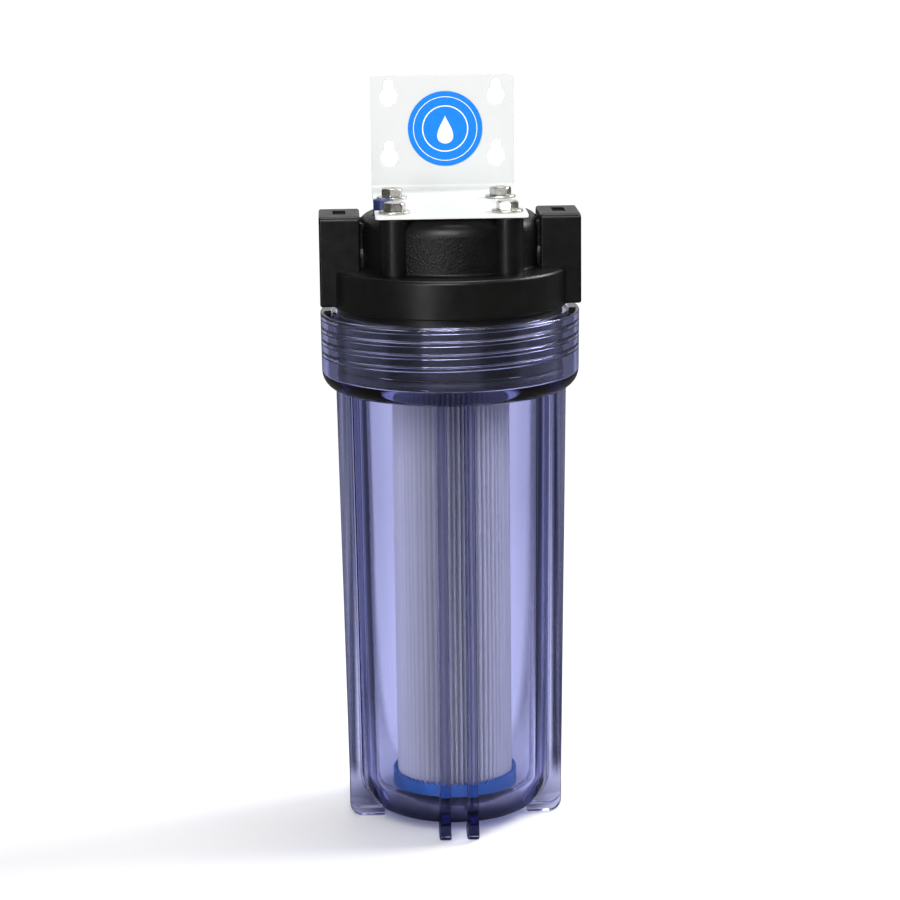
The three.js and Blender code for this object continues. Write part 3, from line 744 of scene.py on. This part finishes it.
def outlet_spigot():
    """The pipe that leads down into the cartridge's top gasket, with a seating rim."""
    return lathe("spigot", [
        (0, SPIGOT_LOW),
        (PLUG_R, SPIGOT_LOW),
        (PLUG_R, SPIGOT_RIM_LOW),
        (SEAT_R, SPIGOT_RIM_LOW),
        (SEAT_R, SPIGOT_RIM_HIGH),
        (CHANNEL_R, SPIGOT_RIM_HIGH),
        (CHANNEL_R, PORT_Z),
        (0, PORT_Z),
    ], 48)


def make_cap():
    body = cap_shell()
    columns = [column(x, y) for _, x, y in bolt_places()]
    channel = rod_along_x("channel", CHANNEL_R, -10.5, 44)
    thread = screw("ridge", NECK_R - 0.4, 3.6, CREST_R, 1.8, THREAD_LOW, THREAD_TURNS)
    combine(body, [*columns, outlet_spigot(), channel, thread], "UNION")
    button = node_middle("relief_button")
    combine(body, [rod("guide", GUIDE_R, GUIDE_LOW, CEILING_Z + 1, button)], "UNION")
    counterbore = lathe("counterbore", [
        (0, SPRING_SEAT_Z),
        (SPRING_BORE_R, SPRING_SEAT_Z),
        (SPRING_BORE_R, DRUM_TOP - 0.5),
        (SPRING_BORE_R + 0.5, DRUM_TOP + 0.2),
        (0, DRUM_TOP + 0.2),
    ], 48, button)
    stem_bore = rod("stem_bore", STEM_BORE_R, GUIDE_LOW - 1, SPRING_SEAT_Z + 0.5, button, 32)
    holes = [rod("hole", BOLT_HOLE_R, 304, 326, (x, y), 32) for _, x, y in bolt_places()]
    water = rod("water", WATER_R, SPIGOT_LOW - 1, PORT_Z)
    outlet = rod_along_x("outlet", WATER_R, -5, 60)
    recesses = [boss_recess(side) for side in (-1, 1)]
    cuts = [counterbore, stem_bore, *holes, water, outlet, port_cutter(1), port_cutter(-1), *recesses]
    combine(body, cuts, "DIFFERENCE")
    soften(body)
    dress(body, "cap_assembly", BLACK, [
        "cap", "cap_drum", "cap_skirt", "cap_neck", "inlet_boss", "outlet_boss", "outlet_channel",
        *("column_" + name for name, _, _ in bolt_places())])
    body.data.materials.append(GRAINED)
    for face in body.data.polygons:
        x, y, z = face.center.x / MM, (face.center.y - AXIS_Y) / MM, face.center.z / MM
        on_drum = abs(math.hypot(x, y) - DRUM_R) < 0.3 and abs(face.normal.z) < 0.5
        if on_drum and SHELF_Z + 1 < z < DRUM_TOP - 1.5:
            face.material_index = 1
    return body


# ------------------------------------------------------------------ relief button
def make_button():
    low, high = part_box("relief_button")
    radius = (high.x - low.x) / 2 / MM
    top, bottom = high.z / MM, low.z / MM
    outline = filleted([
        (0, bottom, 0),
        (2.2, bottom, 0.3),
        (2.2, 322.5, 0.2),
        (radius, 322.5, 0.4),
        (radius, top, 0.5),
        (radius - 1.3, top, 0.3),
        (radius - 1.9, top - 0.45, 0.5),
        (0, top - 0.45, 0),
    ], 5)
    button = soften(lathe("button", outline, 96, node_middle("relief_button")))
    return dress(button, "relief_button", navy_plastic(), ["relief_button"])


def make_spring():
    """The button's return spring, a wire coil."""
    low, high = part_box("relief_spring")
    x, y = (low.x + high.x) / 2, (low.y + high.y) / 2
    wire = 0.00035
    radius = (high.x - low.x) / 2 - wire
    curve = bpy.data.curves.new("spring", "CURVE")
    curve.dimensions = "3D"
    curve.bevel_depth = wire
    curve.bevel_resolution = 3
    curve.use_fill_caps = True
    turns, per_turn = 3, 24
    path = curve.splines.new("POLY")
    path.points.add(turns * per_turn)
    for i, point in enumerate(path.points):
        a = 2 * math.pi * i / per_turn
        z = low.z + wire + (high.z - low.z - 2 * wire) * i / (turns * per_turn)
        point.co = (x + radius * math.cos(a), y + radius * math.sin(a), z, 1)
    coil = bpy.data.objects.new("spring_coil", curve)
    bpy.context.scene.collection.objects.link(coil)
    coil = as_mesh(coil)
    soften(coil, 50)
    dress(coil, "cap_assembly", spring_wire(), ["relief_spring"])
    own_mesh(coil)
    return coil


def as_mesh(thing):
    """The same thing as a mesh object of the same name."""
    bpy.context.view_layer.update()
    mesh = bpy.data.meshes.new_from_object(
        thing.evaluated_get(bpy.context.evaluated_depsgraph_get()))
    name = thing.name
    bpy.data.objects.remove(thing)
    piece = bpy.data.objects.new(name, mesh)
    bpy.context.scene.collection.objects.link(piece)
    return outward(piece)


# ------------------------------------------------------------------ bracket
SHEET = 1.5
BEND_R = 3.0
KEYHOLE_X, KEYHOLE_Z = 28.7, (343.5, 376)
KEYHOLE_R, KEYHOLE_NECK_R, KEYHOLE_NECK_RISE = 5.0, 2.95, 6.45
NOTCH_R = 6.6


def sheet_blank(name, outlines, thickness, edge):
    """A flat sheet with holes, its edges rounded, lying from z = 0 down to -thickness, in mm."""
    curve = bpy.data.curves.new(name, "CURVE")
    curve.dimensions = "2D"
    curve.fill_mode = "BOTH"
    curve.extrude = thickness / 2 - edge
    curve.bevel_depth = edge
    curve.bevel_resolution = 3
    curve.offset = -edge
    for outline in outlines:
        path = curve.splines.new("POLY")
        path.points.add(len(outline) - 1)
        path.use_cyclic_u = True
        for point, (x, y) in zip(path.points, outline):
            point.co = (x, y, 0, 1)
    blank = bpy.data.objects.new(name, curve)
    bpy.context.scene.collection.objects.link(blank)
    blank = as_mesh(blank)
    blank.data.transform(Matrix.Translation((0, 0, -thickness / 2)))
    return blank


def keyhole(x, y):
    """A big circle with a narrow neck rising from it."""
    join = math.asin(KEYHOLE_NECK_R / KEYHOLE_R)
    start, stop = math.pi / 2 + join, math.pi * 2.5 - join
    big = [start + (stop - start) * i / 40 for i in range(41)]
    points = [(x + KEYHOLE_R * math.cos(a), y + KEYHOLE_R * math.sin(a)) for a in big]
    for i in range(21):
        a = math.pi * i / 20
        points.append((x + KEYHOLE_NECK_R * math.cos(a),
                       y + KEYHOLE_NECK_RISE + KEYHOLE_NECK_R * math.sin(a)))
    return points


def make_bracket():
    """One flat blank with its holes, bent up at the back."""
    low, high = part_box("bracket")
    half = high.x / MM
    front = (low.y - AXIS_Y) / MM
    plate_front = (high.y - AXIS_Y) / MM - SHEET
    flange_top = low.z / MM + SHEET
    flange_length = plate_front - BEND_R - front
    bend_length = (BEND_R + SHEET / 2) * math.pi / 2
    bend_z = flange_top + BEND_R
    length = flange_length + bend_length + high.z / MM - bend_z
    notch_x, button_y = node_middle("relief_button")
    notch_s = button_y - front
    notch = [(-half, notch_s + NOTCH_R)]
    for i in range(25):
        a = math.pi / 2 - math.pi * i / 24
        notch.append((notch_x + NOTCH_R * math.cos(a), notch_s + NOTCH_R * math.sin(a)))
    notch.append((-half, notch_s - NOTCH_R))
    corners = [(-half, 0, 3), (half, 0, 3), (half, length, 3), (-half, length, 3)]
    corners += [(x, y, 0.6 if abs(x + half) < 1e-6 else 0) for x, y in notch]
    outlines = [filleted(corners)]
    outlines += [circle(x, y - front, 3.4) for _, x, y in bolt_places()]
    for z in KEYHOLE_Z:
        s = flange_length + bend_length + z - bend_z
        outlines += [keyhole(-KEYHOLE_X, s), keyhole(KEYHOLE_X, s)]
    blank = sheet_blank("bracket_sheet", outlines, SHEET, 0.3)
    work = bmesh.new()
    work.from_mesh(blank.data)
    cuts = [flange_length + bend_length * i / 10 for i in range(11)]
    for s in cuts:
        everything = work.verts[:] + work.edges[:] + work.faces[:]
        bmesh.ops.bisect_plane(work, geom=everything, plane_co=(0, s, 0), plane_no=(0, 1, 0))
    for vertex in work.verts:
        x, s, depth = vertex.co.x, vertex.co.y, -vertex.co.z
        angle = min(max((s - flange_length) / bend_length, 0), 1) * math.pi / 2
        reach = BEND_R + depth
        y = front + min(s, flange_length) + reach * math.sin(angle)
        z = bend_z - reach * math.cos(angle) + max(0, s - flange_length - bend_length)
        vertex.co = (x * MM, AXIS_Y + y * MM, z * MM)
    work.to_mesh(blank.data)
    work.free()
    soften(outward(blank), 40)
    return dress(blank, "cap_assembly", WHITE, ["bracket"])


def make_label():
    """A round film with a plain droplet in a thin ring, standing in for the printed mark."""
    low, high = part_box("label")
    x, z = (low.x + high.x) / 2 / MM, (low.z + high.z) / 2 / MM
    front, back = (low.y - AXIS_Y) / MM, (high.y - AXIS_Y) / MM
    radius = (high.x - low.x) / 2 / MM

    def facing(u, v, w):
        return ((x + u) * MM, AXIS_Y + w * MM, (z + v) * MM)

    film = bevel(prism("label_film", circle(0, 0, radius, 128), front + 0.05, back, facing), 0.08, 2)
    soften(film)
    dress(film, "cap_assembly", label_film(), ["label"])
    ink = label_print()
    drop = []
    for i in range(64):
        a = 2 * math.pi * i / 64
        pinch = math.sin(a / 2) ** 1.6
        drop.append((6.2 * math.sin(a) * pinch, -7.5 * math.cos(a + math.pi) - 0.5))
    mark = soften(prism("label_droplet", drop, front, front + 0.1, facing))
    dress(mark, "cap_assembly", ink)
    for name, outer, width in (("label_outer_ring", 17.2, 0.35), ("label_inner_ring", 12.4, 0.6)):
        ring = prism(name, circle(0, 0, outer, 128), front, front + 0.1, facing)
        hole = prism("hole", circle(0, 0, outer - width, 128), front - 1, front + 1, facing)
        soften(combine(ring, [hole], "DIFFERENCE"))
        dress(ring, "cap_assembly", ink)


# ------------------------------------------------------------------ fasteners
def make_bolt(name, x, y, turn):
    low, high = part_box("bolt_" + name)
    head_top = high.z / MM
    head_low = head_top - 4.2
    corner_r = (high.y - low.y) / 2 / MM
    hexagon = [(corner_r * math.cos(math.radians(60 * i + turn)) + x,
                corner_r * math.sin(math.radians(60 * i + turn)) + y) for i in range(6)]
    head = prism("bolt_head_" + name, hexagon, head_low, head_top, plan)
    chamfer = lathe("chamfer", filleted([
        (0, head_low, 0),
        (corner_r - 0.2, head_low, 0.3),
        (corner_r + 0.3, head_top - 1.25, 0.3),
        (corner_r * 0.86, head_top, 0.25),
        (0, head_top, 0),
    ], 4), 96, (x, y))
    combine(head, [chamfer], "INTERSECT")
    bevel(head, 0.16, 2, 25)
    shank = lathe("shank", filleted([
        (0, low.z / MM, 0),
        (2.4, low.z / MM, 0.2),
        (3.0, low.z / MM + 1, 0.2),
        (3.0, head_low + 0.5, 0),
        (0, head_low + 0.5, 0),
    ], 3), 48, (x, y))
    combine(head, [shank], "UNION")
    soften(head, 28)
    return dress(head, "cap_assembly", STEEL, ["bolt_" + name])


def make_washer(name, x, y):
    low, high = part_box("flat_washer_" + name)
    outer = (high.x - low.x) / 2 / MM
    bottom, top = low.z / MM, high.z / MM
    outline = filleted([
        (3.3, bottom, 0.15), (outer, bottom, 0.3), (outer, top, 0.35), (3.3, top, 0.15)], 5)
    washer = soften(lathe("washer_" + name, outline, 96, (x, y)))
    return dress(washer, "cap_assembly", STEEL, ["flat_washer_" + name])


# ------------------------------------------------------------------ cartridge
def pleat_wave(angle):
    """0 in a valley and 1 at a pleat's tip, with a narrow rounded tip."""
    phase = (angle * PLEATS / (2 * math.pi)) % 1.0
    ramp = 1 - abs(2 * phase - 1)
    return ramp ** 1.25 * (1.0 - 0.12 * ramp ** 6)


def make_media():
    low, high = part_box("cartridge_media")
    per_pleat, rows = 14, 40
    count = PLEATS * per_pleat
    rng = random.Random(7)
    lean = [rng.uniform(-1, 1) for _ in range(PLEATS)]
    reach = [rng.uniform(-1, 1) for _ in range(PLEATS)]
    wander = [rng.uniform(0, 2 * math.pi) for _ in range(PLEATS)]
    vertices = []
    for row in range(rows + 1):
        t = row / rows
        z = low.z + (high.z - low.z) * t
        free = math.sin(math.pi * t) ** 0.5 if 0 < t < 1 else 0
        for i in range(count):
            a = 2 * math.pi * i / count
            k = i // per_pleat
            tip = pleat_wave(a)
            sway = free * tip * (0.010 * lean[k] + 0.006 * math.sin(9 * t + wander[k]))
            r = PLEAT_INNER_R + (PLEAT_OUTER_R - PLEAT_INNER_R + 0.25 * reach[k]) * tip
            vertices.append((r * MM * math.cos(a + sway), AXIS_Y + r * MM * math.sin(a + sway), z))
    inner = len(vertices)
    core = 17.8 * MM
    for row in (0, rows):
        z = low.z + (high.z - low.z) * row / rows
        for i in range(count):
            a = 2 * math.pi * i / count
            vertices.append((core * math.cos(a), AXIS_Y + core * math.sin(a), z))
    faces = []
    for i in range(count):
        j = (i + 1) % count
        for row in range(rows):
            a, b = row * count + i, row * count + j
            faces.append([a, b, b + count, a + count])
        top = rows * count
        faces.append([inner + i, inner + j, j, i])
        faces.append([top + i, top + j, inner + count + j, inner + count + i])
        faces.append([inner + j, inner + i, inner + count + i, inner + count + j])
    media = soften(outward(make_object("pleats", vertices, faces)), 70)
    return dress(media, "cartridge", pleated_sheet(), ["cartridge_media"])


def make_end_cap(node, facing):
    """A moulded cup whose rim climbs between the pleats; facing is 1 at the bottom."""
    low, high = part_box(node)
    outer = (high.x - low.x) / 2 / MM
    start = low.z / MM if facing > 0 else high.z / MM
    height = (high.z - low.z) / MM + RIM_RISE
    profile = [
        (14.4, 0.0, 0), (14.2, 0.2, 0), (outer - 0.5, 0.0, 0), (outer, 0.5, 0),
        (outer, height - 1.7, 0.6), (outer - 0.15, height - 1.2, 1.0), (outer - 0.9, height - 1.0, 1.0),
        (outer - 1.5, height - 1.4, 1.0), (outer - 2.4, height - 2.4, 1.0), (26, 2.6, 0.5),
        (19, 2.0, 0), (14.2, 2.0, 0),
    ]
    per_pleat = 10
    count = PLEATS * per_pleat
    vertices, faces = [], []
    for i in range(count):
        a = 2 * math.pi * i / count
        climb = 1.15 * (1 - pleat_wave(a)) ** 1.4 - 0.9 * pleat_wave(a)
        for r, z, share in profile:
            place = min(z + share * climb, height)
            spot = (r * MM * math.cos(a), AXIS_Y + r * MM * math.sin(a), (start + facing * place) * MM)
            vertices.append(spot)
    points = len(profile)
    for i in range(count):
        j = (i + 1) % count
        for k in range(points):
            n = (k + 1) % points
            faces.append([i * points + k, j * points + k, j * points + n, i * points + n])
    name = "end_cap_low" if facing > 0 else "end_cap_high"
    cup = soften(outward(make_object(name, vertices, faces)), 50)
    return dress(cup, "cartridge", BLUE_CAP, [node])


# ------------------------------------------------------------------ stage, light and camera
LIT_POINT = Vector((0, 0, 0.2))  # every lamp faces it
PAPER_WHITE = 1.04  # just past white, so that the backdrop stays clean


class Studio:
    """Node trees for the floor and the world: white to the eye, a ring of four white cards seen through
    the clear plastic, and dim in reflections; on the floor the cards are painted light."""

    def __init__(self, tree):
        self.tree = tree
        self.path = tree.nodes.new("ShaderNodeLightPath")

    def number(self, kind, inputs, **settings):
        made = self.tree.nodes.new(kind)
        for key, value in settings.items():
            setattr(made, key, value)
        for place, value in inputs.items():
            if isinstance(value, (int, float)):
                made.inputs[place].default_value = value
            else:
                self.tree.links.new(value, made.inputs[place])
        return made.outputs[0]

    def ramp(self, source, start, stop, low, high):
        return self.number("ShaderNodeMapRange", {
            "Value": source, "From Min": start, "From Max": stop, "To Min": low, "To Max": high})

    def cards(self, place):
        """1 in front of a card and dim between two, going round the Z axis."""
        radial = self.tree.nodes.new("ShaderNodeTexGradient")
        radial.gradient_type = "RADIAL"
        self.tree.links.new(place, radial.inputs["Vector"])
        turns = self.number("ShaderNodeMath", {0: radial.outputs["Fac"], 1: 8 * math.pi},
                            operation="MULTIPLY")
        wave = self.number("ShaderNodeMath", {0: turns}, operation="COSINE")
        return self.ramp(wave, -0.5, 0.0, 0.36, 1.36)

    def pick(self, ray, chosen, otherwise):
        """chosen for one kind of ray, otherwise for the rest."""
        difference = self.number("ShaderNodeMath", {0: chosen, 1: otherwise}, operation="SUBTRACT")
        return self.number(
            "ShaderNodeMath", {0: self.path.outputs[ray], 1: difference, 2: otherwise},
            operation="MULTIPLY_ADD")


def make_floor():
    """White paper, lit near the filter and simply white far away; seen through the plastic it carries
    painted bands of light and a painted shadow under the base.
    """
    size = 30.0
    corners = [(-size, -size, 0), (size, -size, 0), (size, size, 0), (-size, size, 0)]
    floor = make_object("floor", corners, [[0, 1, 2, 3]])
    s = Shader("floor_paper")
    s.set(Roughness=0.9, Specular_IOR_Level=0.0)
    studio = Studio(s.tree)
    distance = studio.number("ShaderNodeVectorMath", {0: s.coordinates}, operation="LENGTH")
    distance = distance.node.outputs["Value"]
    seen = studio.pick("Is Glossy Ray", 0.10, 1.0)
    # painted light: seen through the plastic, the floor shows the cards' bright and dim bands, filled to
    # full white within 12 to 30 cm of the axis
    near = studio.ramp(distance, 0.12, 0.3, 1.0, 0.0)
    cards = s.math("MAXIMUM", studio.cards(s.coordinates), near)
    # painted shadow: seen through the plastic, the floor within 4 to 7 cm of the axis is darkened to
    # 0.3, under the base
    cards = s.math("MULTIPLY", cards, studio.ramp(distance, 0.04, 0.07, 0.3, 1.0))
    seen = studio.pick("Is Transmission Ray", cards, seen)
    seen = studio.pick("Is Camera Ray", 1.0, seen)
    grain = s.span(s.noise(3, 2), 0.89, 0.91)
    s.colour(s.math("MULTIPLY", seen, grain))
    glow = s.node("ShaderNodeEmission")
    s.link(s.math("MULTIPLY", seen, PAPER_WHITE), glow.inputs["Strength"])
    mix = s.node("ShaderNodeMixShader")
    s.link(studio.ramp(distance, 0.28, 0.75, 0.0, 1.0), mix.inputs["Fac"])
    s.link(s.principled.outputs["BSDF"], mix.inputs[1])
    s.link(glow.outputs["Emission"], mix.inputs[2])
    s.link(mix.outputs["Shader"], s.output.inputs["Surface"])
    floor.data.materials.append(s.material)


def soft_light(name, place, size, power):
    data = bpy.data.lights.new(name, "AREA")
    data.shape = "RECTANGLE"
    data.size, data.size_y = size
    data.energy = power
    lamp = bpy.data.objects.new(name, data)
    lamp.location = place
    aim = LIT_POINT - Vector(place)
    lamp.rotation_euler = aim.to_track_quat("-Z", "Y").to_euler()
    bpy.context.scene.collection.objects.link(lamp)


def make_world():
    world = bpy.data.worlds.new("studio")
    world.use_nodes = True
    tree = world.node_tree
    background = tree.nodes["Background"]
    studio = Studio(tree)
    direction = tree.nodes.new("ShaderNodeTexCoord").outputs["Generated"]
    ahead = tree.nodes.new("ShaderNodeSeparateXYZ")
    tree.links.new(direction, ahead.inputs["Vector"])
    backdrop = studio.ramp(ahead.outputs["Y"], 0.3, 0.95, 0.07, 0.6)
    strength = studio.pick("Is Diffuse Ray", 0.30, backdrop)
    strength = studio.pick("Is Transmission Ray", studio.cards(direction), strength)
    strength = studio.pick("Is Camera Ray", PAPER_WHITE, strength)
    tree.links.new(strength, background.inputs["Strength"])
    background.inputs["Color"].default_value = (1, 1, 1, 1)
    bpy.context.scene.world = world


def make_camera():
    """The camera a little left of the front and above the cap, looking down at the middle."""
    data = bpy.data.cameras.new("camera")
    data.sensor_width = 36
    data.lens = 112.75
    camera = bpy.data.objects.new("camera", data)
    yaw, pitch, roll = 0.040436, -0.213432, -0.011265
    forward = Vector((math.sin(yaw) * math.cos(pitch), math.cos(yaw) * math.cos(pitch), math.sin(pitch)))
    right = Vector((math.cos(yaw), -math.sin(yaw), 0))
    up = right.cross(forward)
    level_right = math.cos(roll) * right + math.sin(roll) * up
    level_up = -math.sin(roll) * right + math.cos(roll) * up
    turn = Matrix((level_right, level_up, -forward)).transposed()
    camera.matrix_world = Matrix.Translation((-0.0591, AXIS_Y - 1.4437, 0.5103)) @ turn.to_4x4()
    bpy.context.scene.collection.objects.link(camera)
    bpy.context.scene.camera = camera


# ------------------------------------------------------------------ build
make_camera()
make_sump()
make_o_ring()
collar_mark("collar_mark_left", -63.2, -6)
collar_mark("collar_mark_right", 63.2, -8)
make_cap()
make_button()
make_spring()
make_bracket()
make_label()
for number, (place, bolt_x, bolt_y) in enumerate(bolt_places()):
    make_bolt(place, bolt_x, bolt_y, (12, 44, 20, 5)[number])
    make_washer(place, bolt_x, bolt_y)
make_media()
make_end_cap("cartridge_bottom_cap", 1)
make_end_cap("cartridge_top_cap", -1)

kept = {
    "cartridge_core": natural_plastic("core_plastic", (0.80, 0.81, 0.83)),
    "relief_retainer": natural_plastic("retainer_plastic", (0.75, 0.75, 0.74)),
    "relief_seal": RUBBER,
    "top_gasket": RUBBER,
    "bottom_gasket": RUBBER,
}
for node, material in kept.items():
    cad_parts[node].data.materials.clear()
    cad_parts[node].data.materials.append(material)

make_floor()
make_world()
soft_light("strip_left", (-0.92, -1.88, 0.42), (0.22, 0.8), 9)
soft_light("front", (-0.3, -2.2, 1.8), (1.2, 1.2), 50)
soft_light("side_right", (1.8, 0.5, 1.5), (1.0, 1.0), 50)
soft_light("above", (0.1, 0.35, 1.9), (0.8, 0.8), 13)
bpy.context.scene.view_settings.view_transform = "Standard"
